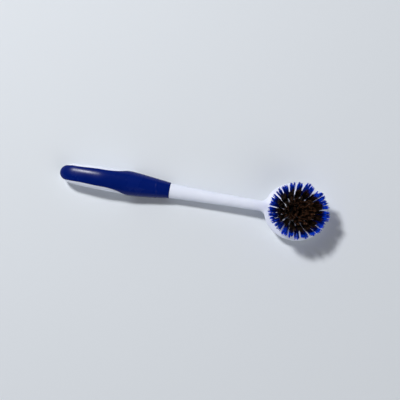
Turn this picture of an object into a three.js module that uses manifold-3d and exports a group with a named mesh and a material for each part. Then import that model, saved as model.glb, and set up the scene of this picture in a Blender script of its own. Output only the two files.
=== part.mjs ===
// Pot brush: a white moulded core, a soft over-moulded grip and a round head of anchored tufts.
// Millimetres. X runs from the tail to the head and Z points the way the bristles stand.
// The brush lies on the flat of its belly and on the far edge of the head's back.
import * as THREE from "three";
import { mergeVertices } from "three/addons/utils/BufferGeometryUtils.js";
import Module from "manifold-3d";

const wasm = await Module();
wasm.setup();

// Overall sizes
const BRUSH_LENGTH = 260; // tail tip to the far rim of the head
const GRIP_LENGTH = 108; // tail tip to the front edge of the sleeve
const HEAD_RADIUS = 30.5; // half length of the oval head
const HEAD_OVAL = 0.9; // width of the head as a share of its length
const HEAD_TILT = THREE.MathUtils.degToRad(9.5); // the head's face looks away from the handle by this
const FIT_GAP = 0.3; // clearance between pieces that bear on each other

// Grip and tail sections: half width, half height, and rise of the section's middle above the table
const TAIL_HALF_WIDTH = 9.4; // tail end, before it is rounded off
const TAIL_HALF_HEIGHT = 5.2;
const TAIL_RISE = 11.4;
const PALM_HALF_WIDTH = 11.5;
const PALM_HALF_HEIGHT = 8.9; // top of the arched back
const PALM_RISE = 12.9;
const WAIST_HALF_WIDTH = 11.5;
const WAIST_HALF_HEIGHT = 9.6;
const WAIST_RISE = 11.0;
const SWELL_HALF_WIDTH = 11.9; // widest point of the grip
const SWELL_HALF_HEIGHT = 9.7;
const SWELL_RISE = 9.8;
const BELLY_HALF_WIDTH = 10.2;
const BELLY_HALF_HEIGHT = 8.8;
const BELLY_RISE = 8.3; // less than the half height, so the belly dips to the flat
const SLEEVE_HALF_WIDTH = 7.6; // front edge of the sleeve
const SLEEVE_HALF_HEIGHT = 7.3;
const SLEEVE_RISE = 7.9;

// Places of the sections, as shares of the grip's length
const GRIP_SECTIONS = [
  { at: 0.0, halfWidth: TAIL_HALF_WIDTH, halfHeight: TAIL_HALF_HEIGHT, rise: TAIL_RISE },
  { at: 0.36, halfWidth: PALM_HALF_WIDTH, halfHeight: PALM_HALF_HEIGHT, rise: PALM_RISE },
  { at: 0.54, halfWidth: WAIST_HALF_WIDTH, halfHeight: WAIST_HALF_HEIGHT, rise: WAIST_RISE },
  { at: 0.635, halfWidth: SWELL_HALF_WIDTH, halfHeight: SWELL_HALF_HEIGHT, rise: SWELL_RISE },
  { at: 0.8, halfWidth: BELLY_HALF_WIDTH, halfHeight: BELLY_HALF_HEIGHT, rise: BELLY_RISE },
  { at: 1.0, halfWidth: SLEEVE_HALF_WIDTH, halfHeight: SLEEVE_HALF_HEIGHT, rise: SLEEVE_RISE },
];
const TAIL_ROUND = 14; // length of the rounded tail end
const TIP_FLAT = 0.1; // the rounding starts this far from the tip, so the tip is a small flat
const SECTION_POWER = 2.25; // 2 is an ellipse, more is squarer
const GRIP_WALL = 2.4; // thickness of the soft over-mould
const GRIP_PROUD = 0.4; // the grip stands above the bare tail by this
const COLLAR_STEP = 0.5; // the neck is this much slimmer than the sleeve's front edge

// Fineness of the bodies that show and of the ones under the over-mould
const SHOWN = { sides: 24, roundSteps: 6, bodySteps: 13 };
const HIDDEN = { sides: 16, roundSteps: 3, bodySteps: 8 };

// Line where grip and bare tail meet, seen from the side: share of the length, share of the half height.
const PARTING_LINE = [
  [-0.05, -0.6],
  [0.02, 0.05],
  [0.08, 0.57],
  [0.16, 0.71],
  [0.32, 0.71],
  [0.46, 0.69],
  [0.56, 0.47],
  [0.63, 0.0],
  [0.68, -0.8],
  [0.71, -1.3],
];
const PARTING_STEPS = 20;

// Keys of the over-mould in pockets of the tang
const KEY_STATIONS = [0.26, 0.44, 0.8]; // shares of the grip's length
const KEY_LENGTH = 8;
const KEY_WIDTH = 4.5;
const KEY_DEPTH = 4;

// Neck sections, from the sleeve to the near rim of the head.
// "at" and "climb" are shares of the neck's run and of its rise.
const NECK_BACK_HALF_WIDTH = 6.2;
const NECK_BACK_HALF_HEIGHT = 5.9;
const NECK_MIDDLE_HALF_WIDTH = 5.35;
const NECK_MIDDLE_HALF_HEIGHT = 5.1;
const NECK_FRONT_HALF_WIDTH = 5.0;
const NECK_FRONT_HALF_HEIGHT = 4.7;
const NECK_SECTIONS = [
  { at: 0.3, halfWidth: NECK_BACK_HALF_WIDTH, halfHeight: NECK_BACK_HALF_HEIGHT, climb: 0.2 },
  { at: 0.65, halfWidth: NECK_MIDDLE_HALF_WIDTH, halfHeight: NECK_MIDDLE_HALF_HEIGHT, climb: 0.62 },
  { at: 1.0, halfWidth: NECK_FRONT_HALF_WIDTH, halfHeight: NECK_FRONT_HALF_HEIGHT, climb: 1.0 },
];
const NECK_DROP = 4.4; // the neck's middle is this far below the near rim
const FLARE_RADIUS = 7; // fillet between neck and head, seen from above
const FLARE_REACH = 0.72; // the flare ends inside the head, at this share of its radius

// Head, in its own frame: radius r from its axis, height n above the rim plane
const DOME_RADIUS = 70; // roundness of the face
const FACE_RISE = 6.5; // middle of the face above the rim plane
const RIM_ROUND = 1.8; // breadth of the rounded rim
const RIM_DEPTH = 1.6; // the widest line lies this far below the rim plane
const BACK_DEPTH = 9; // flat of the back below the rim plane
const BACK_LAND_RADIUS = 13;
const HEAD_SEGMENTS = 36;
const SLICE_DEPTH = 1.4; // slice of the face that goes with a ring of tufts

// Tufts: rings from the inside out
const TUFT_RINGS = [
  { name: "dark_centre_tufts", count: 4, slot: "dark_filament" },
  { name: "dark_middle_tufts", count: 10, slot: "dark_filament" },
  { name: "dark_outer_tufts", count: 16, slot: "dark_filament" },
  { name: "blue_ring_tufts", count: 24, slot: "blue_filament" },
];
const FIRST_RING_RADIUS = 3.2;
const RING_PITCH = 4.6;
const TUFT_LENGTH = 20;
const TUFT_LEAN = THREE.MathUtils.degToRad(2.1); // outward lean per millimetre of ring radius
const HOLE_LEAN = THREE.MathUtils.degToRad(1.05);
const HOLE_RADIUS = 1.6;
const ROOT_DEPTH = 4.2; // folded root below the slice
const STRANDS_AROUND = 6; // strands around the middle one of a tuft
const STRAND_RING = 0.95;
const STRAND_RADIUS = 0.5;
const STRAND_SIDES = 3;
const STRAND_FAN = 2.0; // a tuft is this many times wider at its tip
const ANCHOR_HEIGHT = 1.6;
const ANCHOR_THICKNESS = 0.45;
const HOLE_SIDES = 6;

// Materials
const MATERIALS = {
  white_polypropylene: { color: 0xeceef3, roughness: 0.42, metalness: 0 },
  navy_soft_plastic: { color: 0x0b2a7e, roughness: 0.6, metalness: 0 },
  blue_filament: { color: 0x1233b8, roughness: 0.45, metalness: 0 },
  dark_filament: { color: 0x1c1512, roughness: 0.55, metalness: 0 },
  anchor_wire: { color: 0xb8b2a2, roughness: 0.35, metalness: 1 },
};

// Closed solid of a geometry, for joining and cutting
function solidOf(geometry) {
  const bare = geometry.index ? geometry.clone() : geometry;
  bare.deleteAttribute("normal");
  bare.deleteAttribute("uv");
  const welded = mergeVertices(bare, 1e-4);
  const mesh = new wasm.Mesh({
    numProp: 3,
    vertProperties: new Float32Array(welded.attributes.position.array),
    triVerts: new Uint32Array(welded.index.array),
  });
  return new wasm.Manifold(mesh);
}

function geometryOf(solid) {
  const mesh = solid.getMesh();
  const geometry = new THREE.BufferGeometry();
  geometry.setAttribute("position", new THREE.BufferAttribute(mesh.vertProperties, 3));
  geometry.setIndex(new THREE.BufferAttribute(mesh.triVerts, 1));
  geometry.computeVertexNormals();
  return geometry;
}

function joined(solids) {
  return solids.reduce((whole, solid) => whole.add(solid));
}

// Smooth value along a list of stations, with slopes taken from the neighbours
function along(stations, key, x) {
  const last = stations.length - 1;
  const inside = THREE.MathUtils.clamp(x, stations[0].x, stations[last].x);
  let i = 0;
  while (i < last - 1 && inside > stations[i + 1].x) {
    i += 1;
  }
  const slope = (k) => {
    const before = stations[Math.max(k - 1, 0)];
    const after = stations[Math.min(k + 1, last)];
    return (after[key] - before[key]) / (after.x - before.x);
  };
  const span = stations[i + 1].x - stations[i].x;
  const t = (inside - stations[i].x) / span;
  const rest = 1 - t;
  return (
    stations[i][key] * (1 + 2 * t) * rest * rest +
    stations[i + 1][key] * t * t * (3 - 2 * t) +
    span * t * rest * (slope(i) * rest - slope(i + 1) * t)
  );
}

// Rounded cross-section at x, as points around the handle
function sectionRing(x, rise, halfWidth, halfHeight, sides) {
  const ring = [];
  for (let i = 0; i < sides; i += 1) {
    const angle = (2 * Math.PI * i) / sides;
    const c = Math.cos(angle);
    const s = Math.sin(angle);
    const y = halfWidth * Math.sign(c) * Math.abs(c) ** (2 / SECTION_POWER);
    const z = halfHeight * Math.sign(s) * Math.abs(s) ** (2 / SECTION_POWER);
    ring.push(new THREE.Vector3(x, y, rise + z));
  }
  return ring;
}

// Closed body through a row of rings, each end closed by a fan
function loft(rings) {
  const sides = rings[0].length;
  const points = rings.flat();
  const index = [];
  for (let r = 0; r + 1 < rings.length; r += 1) {
    for (let i = 0; i < sides; i += 1) {
      const a = r * sides + i;
      const b = r * sides + ((i + 1) % sides);
      index.push(a, b, a + sides, b, b + sides, a + sides);
    }
  }
  for (const end of [0, rings.length - 1]) {
    const middle = points.length;
    const sum = rings[end].reduce((total, point) => total.add(point), new THREE.Vector3());
    points.push(sum.divideScalar(sides));
    for (let i = 0; i < sides; i += 1) {
      const a = end * sides + i;
      const b = end * sides + ((i + 1) % sides);
      index.push(...(end === 0 ? [middle, b, a] : [middle, a, b]));
    }
  }
  const geometry = new THREE.BufferGeometry().setFromPoints(points);
  geometry.setIndex(index);
  return solidOf(geometry);
}

// Grip and tail body, drawn in by an inset from the outside of the grip
const gripStations = GRIP_SECTIONS.map((section) => ({ ...section, x: section.at * GRIP_LENGTH }));

function gripSize(x, key) {
  return along(gripStations, key, x);
}

function tailRounding(x) {
  const share = Math.min(Math.max(x, 0) / TAIL_ROUND, 1);
  return Math.sqrt(1 - (1 - share) ** 2);
}

function gripBody(inset, frontEnd, fineness) {
  const { sides, roundSteps, bodySteps } = fineness;
  const tip = Math.max(inset, TIP_FLAT);
  const places = [];
  for (let i = 0; i < roundSteps; i += 1) {
    places.push(tip + (TAIL_ROUND - tip) * (1 - Math.cos((Math.PI * i) / (2 * roundSteps))));
  }
  for (let i = 0; i <= bodySteps; i += 1) {
    places.push(TAIL_ROUND + ((frontEnd - TAIL_ROUND) * i) / bodySteps);
  }
  return loft(
    places.map((x) => {
      const halfWidth = gripSize(x, "halfWidth") * tailRounding(x) - inset;
      const halfHeight = gripSize(x, "halfHeight") * tailRounding(x) - inset;
      return sectionRing(x, gripSize(x, "rise"), halfWidth, halfHeight, sides);
    }),
  );
}

// Block below the parting line, moved out of the tail by a gap
function belowParting(gap) {
  const line = new THREE.SplineCurve(
    PARTING_LINE.map(([at, share]) => {
      const x = at * GRIP_LENGTH;
      return new THREE.Vector2(x, gripSize(x, "rise") + share * gripSize(x, "halfHeight"));
    }),
  );
  const edge = [];
  for (let i = 0; i <= PARTING_STEPS; i += 1) {
    const tangent = line.getTangent(i / PARTING_STEPS);
    const normal = new THREE.Vector2(-tangent.y, tangent.x);
    edge.push(line.getPoint(i / PARTING_STEPS).addScaledVector(normal, gap));
  }
  const floor = -GRIP_LENGTH;
  const outline = new THREE.Shape([
    new THREE.Vector2(edge[0].x, floor),
    new THREE.Vector2(edge[edge.length - 1].x, floor),
    ...edge.reverse(),
  ]);
  const breadth = 4 * gripSize(GRIP_LENGTH / 2, "halfWidth");
  const block = new THREE.ExtrudeGeometry(outline, { depth: breadth, bevelEnabled: false });
  block.rotateX(Math.PI / 2);
  block.translate(0, breadth / 2, 0);
  return solidOf(block);
}

// Upright key with round ends, from the floor of its pocket to the outside of the grip
function gripKey(station, clearance) {
  const x = station * GRIP_LENGTH;
  const radius = KEY_WIDTH / 2 + clearance;
  const straight = (KEY_LENGTH - KEY_WIDTH) / 2;
  const outline = new THREE.Shape();
  outline.absarc(straight, 0, radius, -Math.PI / 2, Math.PI / 2, false);
  outline.absarc(-straight, 0, radius, Math.PI / 2, (3 * Math.PI) / 2, false);
  const tangTop = gripSize(x, "rise") + gripSize(x, "halfHeight") - GRIP_WALL;
  const height = KEY_DEPTH + GRIP_WALL + clearance;
  const block = new THREE.ExtrudeGeometry(outline, { depth: height, bevelEnabled: false, curveSegments: 5 });
  block.translate(x, 0, tangTop - KEY_DEPTH - clearance);
  return solidOf(block);
}

// Everything under the table plane, to flatten the belly
function belowTable() {
  const block = new THREE.BoxGeometry(2 * BRUSH_LENGTH, 2 * BRUSH_LENGTH, BRUSH_LENGTH);
  block.translate(0, 0, -BRUSH_LENGTH / 2);
  return solidOf(block);
}

// Height of the domed face above the rim plane
function faceHeight(r) {
  return FACE_RISE - DOME_RADIUS + Math.sqrt(DOME_RADIUS * DOME_RADIUS - r * r);
}

// Each ring of tufts has a flat land of its own, a step lower than the one inside it
const lands = TUFT_RINGS.map((ring, order) => {
  const radius = FIRST_RING_RADIUS + order * RING_PITCH;
  return {
    ...ring,
    radius,
    height: faceHeight(radius),
    inner: order === 0 ? 0 : radius - RING_PITCH / 2 + FIT_GAP,
    outer: radius + RING_PITCH / 2,
  };
});

// Half outline of the head: stepped seat of the lands, rounded rim, bowl-shaped back with a flat
const seatRadius = lands[lands.length - 1].outer + FIT_GAP;
const rimStart = HEAD_RADIUS - RIM_ROUND;

function headOutline() {
  const points = [];
  let from = 0;
  lands.forEach((land, order) => {
    const floor = land.height - SLICE_DEPTH - FIT_GAP;
    const to = order === lands.length - 1 ? seatRadius : land.outer;
    points.push(new THREE.Vector2(from, floor), new THREE.Vector2(to, floor));
    from = to;
  });
  points.push(new THREE.Vector2(seatRadius, faceHeight(seatRadius)));
  const rim = new THREE.QuadraticBezierCurve(
    new THREE.Vector2(rimStart, faceHeight(rimStart)),
    new THREE.Vector2(HEAD_RADIUS, faceHeight(HEAD_RADIUS)),
    new THREE.Vector2(HEAD_RADIUS, -RIM_DEPTH),
  );
  const back = new THREE.QuadraticBezierCurve(
    new THREE.Vector2(HEAD_RADIUS, -RIM_DEPTH),
    new THREE.Vector2(HEAD_RADIUS - RIM_ROUND, -BACK_DEPTH),
    new THREE.Vector2(BACK_LAND_RADIUS, -BACK_DEPTH),
  );
  points.push(...rim.getPoints(3), ...back.getPoints(4).slice(1), new THREE.Vector2(0, -BACK_DEPTH));
  return points;
}

// Oval body about the head's axis from an outline that runs from the face to the back
function turned(halfOutline, segments) {
  const geometry = new THREE.LatheGeometry(halfOutline.slice().reverse(), segments, Math.PI / 2);
  geometry.rotateX(Math.PI / 2);
  geometry.scale(1, HEAD_OVAL, 1);
  return solidOf(geometry);
}

// Place of the head: its back just touches the table and its far rim ends the brush
const headProfile = headOutline();
const headLow = Math.min(...headProfile.map((p) => p.y * Math.cos(HEAD_TILT) - p.x * Math.sin(HEAD_TILT)));
const headFar = Math.max(...headProfile.map((p) => p.y * Math.sin(HEAD_TILT) + p.x * Math.cos(HEAD_TILT)));
const headPlace = new THREE.Vector3(BRUSH_LENGTH - headFar, 0, -headLow);
const headMatrix = new THREE.Matrix4().makeRotationY(HEAD_TILT).setPosition(headPlace);

// Neck from the sleeve to the head, with the flare at its end
const neckStart = GRIP_LENGTH + FIT_GAP;
const nearRim = headPlace.x - HEAD_RADIUS * Math.cos(HEAD_TILT);
const flareEnd = headPlace.x - FLARE_REACH * HEAD_RADIUS * Math.cos(HEAD_TILT);
const collar = gripStations[gripStations.length - 1];
const neckTopRise = headPlace.z + HEAD_RADIUS * Math.sin(HEAD_TILT) - NECK_DROP;
const neckStations = [
  {
    x: neckStart,
    halfWidth: collar.halfWidth - COLLAR_STEP,
    halfHeight: collar.halfHeight - COLLAR_STEP,
    rise: collar.rise,
  },
  ...NECK_SECTIONS.map((section) => ({
    x: neckStart + section.at * (nearRim - neckStart),
    halfWidth: section.halfWidth,
    halfHeight: section.halfHeight,
    rise: collar.rise + section.climb * (neckTopRise - collar.rise),
  })),
];

function neckHalfWidth(x) {
  const slim = along(neckStations, "halfWidth", x);
  const endWidth = neckStations[neckStations.length - 1].halfWidth;
  const rimRadius = HEAD_RADIUS * HEAD_OVAL * HEAD_OVAL; // roundness of the oval where the neck meets it
  const side = endWidth + FLARE_RADIUS;
  const reach = rimRadius + FLARE_RADIUS;
  const start = nearRim + rimRadius - Math.sqrt(reach * reach - side * side);
  const end = nearRim + rimRadius - (rimRadius * Math.sqrt(reach * reach - side * side)) / reach;
  const run = THREE.MathUtils.clamp(x, start, end) - start;
  return slim + FLARE_RADIUS - Math.sqrt(FLARE_RADIUS * FLARE_RADIUS - run * run);
}

function neckBody() {
  const neckSteps = 9;
  const flareSteps = 6;
  const flareStart = nearRim - FLARE_RADIUS;
  const places = [];
  for (let i = 0; i < neckSteps; i += 1) {
    places.push(neckStart + ((flareStart - neckStart) * i) / neckSteps);
  }
  for (let i = 0; i <= flareSteps; i += 1) {
    places.push(flareStart + ((flareEnd - flareStart) * i) / flareSteps);
  }
  return loft(
    places.map((x) => {
      const halfHeight = along(neckStations, "halfHeight", x);
      return sectionRing(x, along(neckStations, "rise", x), neckHalfWidth(x), halfHeight, SHOWN.sides);
    }),
  );
}

// Direction that leans outward from the head's axis, less so across the oval
function leaning(angle, lean) {
  const outward = Math.sin(lean);
  const lengthwise = Math.cos(angle) * outward;
  const crosswise = HEAD_OVAL * Math.sin(angle) * outward;
  return new THREE.Vector3(lengthwise, crosswise, Math.cos(lean)).normalize();
}

// Every tuft of a land: its place on the face, its angle, and its two ways
function tuftsOf(land) {
  const tufts = [];
  for (let i = 0; i < land.count; i += 1) {
    const angle = (2 * Math.PI * (i + 0.5)) / land.count;
    tufts.push({
      angle,
      place: new THREE.Vector3(
        land.radius * Math.cos(angle),
        HEAD_OVAL * land.radius * Math.sin(angle),
        land.height,
      ),
      strandWay: leaning(angle, land.radius * TUFT_LEAN),
      holeWay: leaning(angle, land.radius * HOLE_LEAN),
    });
  }
  return tufts;
}

// Straight prism between two points
function prism(from, to, radius, sides) {
  const way = new THREE.Vector3().subVectors(to, from);
  const geometry = new THREE.CylinderGeometry(radius, radius, way.length(), sides);
  const up = new THREE.Vector3(0, 1, 0);
  geometry.applyQuaternion(new THREE.Quaternion().setFromUnitVectors(up, way.normalize()));
  geometry.translate((from.x + to.x) / 2, (from.y + to.y) / 2, (from.z + to.z) / 2);
  return solidOf(geometry);
}

const rootRadius = HOLE_RADIUS * Math.cos(Math.PI / HOLE_SIDES) - FIT_GAP;
const anchorSpan = 2 * rootRadius;
const anchorTop = SLICE_DEPTH + ROOT_DEPTH + FIT_GAP;
const holeDepth = anchorTop + ANCHOR_HEIGHT + FIT_GAP;

function tuftHole(tuft) {
  const top = tuft.place.clone().addScaledVector(tuft.holeWay, -SLICE_DEPTH / 2);
  const bottom = tuft.place.clone().addScaledVector(tuft.holeWay, -holeDepth);
  return prism(bottom, top, HOLE_RADIUS, HOLE_SIDES);
}

// Folded root of a tuft and its fan of strands
function tuftSolids(tuft) {
  const rootTop = tuft.place.clone().addScaledVector(tuft.holeWay, -SLICE_DEPTH / 2);
  const rootEnd = tuft.place.clone().addScaledVector(tuft.holeWay, -SLICE_DEPTH - ROOT_DEPTH);
  const solids = [prism(rootEnd, rootTop, rootRadius, HOLE_SIDES)];
  const sideways = new THREE.Vector3(-Math.sin(tuft.angle), Math.cos(tuft.angle), 0);
  const outward = new THREE.Vector3(Math.cos(tuft.angle), Math.sin(tuft.angle), 0);
  const across = new THREE.Vector3().crossVectors(sideways, tuft.strandWay);
  const slant = tuft.strandWay.z;
  const middle = tuft.place.clone().addScaledVector(tuft.strandWay, -SLICE_DEPTH / 2 / slant);
  const end = tuft.place.clone().addScaledVector(tuft.strandWay, TUFT_LENGTH);
  solids.push(prism(middle, end, STRAND_RADIUS, STRAND_SIDES));
  for (let i = 0; i < STRANDS_AROUND; i += 1) {
    const turn = (2 * Math.PI * i) / STRANDS_AROUND;
    const side = STRAND_RING * Math.cos(turn);
    const out = STRAND_RING * Math.sin(turn);
    const root = middle.clone().addScaledVector(sideways, side).addScaledVector(outward, out / slant);
    const tip = end.clone().addScaledVector(sideways, STRAND_FAN * side);
    tip.addScaledVector(across, STRAND_FAN * out);
    solids.push(prism(root, tip, STRAND_RADIUS, STRAND_SIDES));
  }
  return solids;
}

// Slice of the face that carries one ring of tufts
function faceSlice(land) {
  const under = land.height - SLICE_DEPTH;
  const points = [
    new THREE.Vector2(land.inner, land.height),
    new THREE.Vector2(land.outer, land.height),
    new THREE.Vector2(land.outer, under),
    new THREE.Vector2(land.inner, under),
  ];
  if (land.inner > 0) {
    points.push(points[0].clone());
  }
  return turned(points, HEAD_SEGMENTS);
}

// Assembly
const brush = new THREE.Group();
brush.name = "pot_brush";

function addPiece(parent, name, geometry, slot) {
  const piece = new THREE.Mesh(geometry, new THREE.MeshStandardMaterial({ name: slot, ...MATERIALS[slot] }));
  piece.name = name;
  parent.add(piece);
  return piece;
}

// Core: tang and bare tail, neck, and head with its blind holes
const tang = gripBody(GRIP_WALL, GRIP_LENGTH + GRIP_WALL, HIDDEN);
const bareTail = gripBody(GRIP_PROUD, GRIP_LENGTH, SHOWN).intersect(belowParting(0));
let drilledHead = turned(headProfile, HEAD_SEGMENTS);
for (const tuft of lands.flatMap(tuftsOf)) {
  drilledHead = drilledHead.subtract(tuftHole(tuft));
}
const headInPlace = geometryOf(drilledHead).applyMatrix4(headMatrix);
let core = joined([tang, bareTail, neckBody(), solidOf(headInPlace)]);
for (const station of KEY_STATIONS) {
  core = core.subtract(gripKey(station, FIT_GAP));
}
addPiece(brush, "handle_core", geometryOf(core.subtract(belowTable())), "white_polypropylene");

// Soft grip: outside of the handle less the bare tail and the tang, with keys into the tang
const gripOutside = gripBody(0, GRIP_LENGTH, SHOWN);
const tangSpace = gripBody(GRIP_WALL - FIT_GAP, GRIP_LENGTH + GRIP_WALL, HIDDEN);
const gripHollow = joined([belowParting(FIT_GAP), tangSpace]);
let grip = gripOutside.subtract(gripHollow);
for (const station of KEY_STATIONS) {
  grip = grip.add(gripKey(station, 0).intersect(gripOutside));
}
addPiece(brush, "soft_grip", geometryOf(grip.subtract(belowTable())), "navy_soft_plastic");

// Tufts and their anchors, in the head's frame
const head = new THREE.Group();
head.name = "head";
head.applyMatrix4(headMatrix);
brush.add(head);

let anchorNumber = 0;
for (const land of lands) {
  const tufts = tuftsOf(land);
  const field = joined([faceSlice(land), ...tufts.flatMap(tuftSolids)]);
  addPiece(head, land.name, geometryOf(field), land.slot);
  for (const tuft of tufts) {
    anchorNumber += 1;
    const name = `tuft_anchor_${String(anchorNumber).padStart(2, "0")}`;
    const flatWire = new THREE.BoxGeometry(ANCHOR_THICKNESS, anchorSpan, ANCHOR_HEIGHT);
    const anchor = addPiece(head, name, flatWire, "anchor_wire");
    anchor.position.copy(tuft.place).addScaledVector(tuft.holeWay, -anchorTop - ANCHOR_HEIGHT / 2);
    anchor.quaternion.setFromUnitVectors(new THREE.Vector3(0, 0, 1), tuft.holeWay);
    anchor.rotateZ(tuft.angle);
  }
}

// The origin is under the middle of the brush, on the table
brush.updateMatrixWorld(true);
const box = new THREE.Box3().setFromObject(brush, true);
brush.position.set(-(box.min.x + box.max.x) / 2, 0, -box.min.z);

export default brush;
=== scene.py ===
import math

import bmesh
import bpy
import numpy as np
from mathutils import Matrix, Vector


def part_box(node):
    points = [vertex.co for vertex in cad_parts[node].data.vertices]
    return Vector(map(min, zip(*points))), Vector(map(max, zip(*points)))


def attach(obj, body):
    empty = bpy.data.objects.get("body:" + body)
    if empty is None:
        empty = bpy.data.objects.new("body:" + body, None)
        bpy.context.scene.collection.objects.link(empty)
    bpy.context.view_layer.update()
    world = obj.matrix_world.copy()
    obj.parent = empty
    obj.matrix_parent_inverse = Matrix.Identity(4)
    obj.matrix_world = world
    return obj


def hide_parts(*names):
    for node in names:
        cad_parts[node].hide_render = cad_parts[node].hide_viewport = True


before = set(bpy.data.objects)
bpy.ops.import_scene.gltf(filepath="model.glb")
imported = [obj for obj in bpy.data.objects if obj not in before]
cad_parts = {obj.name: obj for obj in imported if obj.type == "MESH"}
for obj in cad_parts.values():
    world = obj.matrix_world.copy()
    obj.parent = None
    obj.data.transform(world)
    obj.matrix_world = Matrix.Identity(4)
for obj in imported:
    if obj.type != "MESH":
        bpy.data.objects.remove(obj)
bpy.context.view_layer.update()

scene = bpy.context.scene

# White core
# The stiff body of the brush: bare tail, tang, neck and oval head in one shot of white polypropylene.
# It is injection moulded, so its corners are rounded and the neck runs into the head through a fillet.
# The head's face is a low dome, drilled with a blind hole for each tuft.
MM = 0.001
QUARTER_TURN = math.pi / 2
FULL_TURN = 2 * math.pi
BRUSH_LENGTH = 260.0
GRIP_LENGTH = 108.0
HEAD_RADIUS = 30.5
HEAD_OVAL = 0.9
HEAD_TILT = math.radians(9.5)
GRIP_WALL = 2.4
GRIP_PROUD = 0.4
COLLAR_STEP = 0.5
TAIL_ROUND = 14.0
TIP_FLAT = 0.1
TAIL_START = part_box("soft_grip")[0].x / MM - TIP_FLAT

# Sections of tail and grip, as places along the brush and sizes there. A power of 2 would be an ellipse
SECTION_POWER = 2.25
GRIP_AT = [0, 38.88, 58.32, 68.58, 86.4, GRIP_LENGTH]
GRIP_HALF_WIDTH = [9.4, 11.5, 11.5, 11.9, 10.2, 7.6]
GRIP_HALF_HEIGHT = [5.2, 8.9, 9.6, 9.7, 8.8, 7.3]
GRIP_RISE = [11.4, 12.9, 11.0, 9.8, 8.3, 7.9]

# Line where the grip ends on the bare tail, as shares of the half height above the section's middle
PARTING_AT = [-5.4, 2.2, 8.6, 17.3, 34.6, 49.7, 60.5, 68.0, 73.4, 76.7]
PARTING_SHARE = [-0.6, 0.05, 0.57, 0.71, 0.71, 0.69, 0.47, 0.0, -0.8, -1.3]

CORE_STEP = 0.5
ROUND_STEPS = 24
HANDLE_SIDES = 120
whole_turn = FULL_TURN * (HANDLE_SIDES - 1) / HANDLE_SIDES


def along(places, values, x):
    """Smooth value at x through a row of stations, with slopes taken from the neighbours."""
    places = np.asarray(places, float)
    values = np.asarray(values, float)
    last = len(places) - 1
    x = np.clip(x, places[0], places[last])
    i = np.clip(np.searchsorted(places, x, side="left") - 1, 0, last - 1)
    before = np.maximum(np.arange(last + 1) - 1, 0)
    after = np.minimum(np.arange(last + 1) + 1, last)
    slopes = (values[after] - values[before]) / (places[after] - places[before])
    span = places[i + 1] - places[i]
    t = (x - places[i]) / span
    rest = 1 - t
    ends = values[i] * (1 + 2 * t) * rest**2 + values[i + 1] * t**2 * (3 - 2 * t)
    return ends + span * t * rest * (slopes[i] * rest - slopes[i + 1] * t)


def parting_height(x):
    """Height of the line where the soft grip meets the bare tail."""
    share = along(PARTING_AT, PARTING_SHARE, x)
    return along(GRIP_AT, GRIP_RISE, x) + share * along(GRIP_AT, GRIP_HALF_HEIGHT, x)


def section(x, rise, half_width, half_height, start, end, sides):
    """Part of the rounded cross-section at x, from one angle to another. Angle 0 is the +Y side."""
    angles = np.linspace(start, end, sides)
    c = np.cos(angles)
    s = np.sin(angles)
    y = half_width * np.sign(c) * np.abs(c) ** (2 / SECTION_POWER)
    z = half_height * np.sign(s) * np.abs(s) ** (2 / SECTION_POWER)
    return np.stack([np.full(sides, x), y, rise + z], axis=1)


def handle_size(x, inset):
    """Rise of the middle, half width and half height of tail and grip at x, drawn in by an inset."""
    share = min(max(x, 0) / TAIL_ROUND, 1)
    rounding = math.sqrt(1 - (1 - share) ** 2)
    half_width = along(GRIP_AT, GRIP_HALF_WIDTH, x) * rounding - inset
    half_height = along(GRIP_AT, GRIP_HALF_HEIGHT, x) * rounding - inset
    return along(GRIP_AT, GRIP_RISE, x), half_width, half_height


def edge_angle(x, gap):
    """Angle on the section at x where the grip ends. Minus a quarter turn means that it goes all round."""
    rise, _, half_height = handle_size(x, 0)
    cut = np.clip((parting_height(x) + gap - rise) / half_height, -1, 1)
    return math.asin(math.copysign(abs(cut) ** (SECTION_POWER / 2), cut))


def handle_places(tip, end, step):
    """Stations along the handle, closer together in the rounded tail end."""
    rounded = tip + (TAIL_ROUND - tip) * (1 - np.cos(np.linspace(0, QUARTER_TURN, ROUND_STEPS)))
    straight = np.arange(TAIL_ROUND + step, end - step / 2, step)
    return np.concatenate([rounded, straight, [end]])


def loft(rings):
    """Points and faces of a closed body through a row of rings."""
    sides = len(rings[0])
    points = np.concatenate(rings)
    faces = []
    for row in range(len(rings) - 1):
        low = row * sides
        high = low + sides
        for i in range(sides):
            j = (i + 1) % sides
            faces.append((low + i, low + j, high + j, high + i))
    top = (len(rings) - 1) * sides
    faces.append(tuple(range(sides - 1, -1, -1)))
    faces.append(tuple(range(top, top + sides)))
    return points, faces


def mesh_object(name, bodies):
    """One object that holds several closed bodies, in millimetres along the brush."""
    points = []
    faces = []
    for body_points, body_faces in bodies:
        offset = len(points)
        points.extend(body_points.tolist())
        faces.extend(tuple(offset + k for k in face) for face in body_faces)
    mesh = bpy.data.meshes.new(name)
    mesh.from_pydata(points, [], faces)
    made = bpy.data.objects.new(name, mesh)
    scene.collection.objects.link(made)
    return made


# Head, turned about its own axis: flat of the back, bowl, rounded rim and domed face, as radius and height
DOME_RADIUS = 70.0
FACE_RISE = 6.5
RIM_ROUND = 1.8
RIM_DEPTH = 1.6
BACK_DEPTH = 9.0
BACK_LAND_RADIUS = 13.0
CENTRE_RADIUS = 0.5
BACK_STEPS = 24
RIM_STEPS = 12
FACE_STEPS = 40
HEAD_SIDES = 180


def face_height(r):
    """Height of the domed face above the rim plane."""
    return FACE_RISE - DOME_RADIUS + np.sqrt(DOME_RADIUS**2 - r**2)


def bend(start, corner, end, steps):
    """Points of a curve that leaves start and reaches end along the two sides of a corner."""
    t = np.linspace(0, 1, steps)[:, None]
    return (1 - t) ** 2 * np.array(start) + 2 * t * (1 - t) * np.array(corner) + t**2 * np.array(end)


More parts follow.
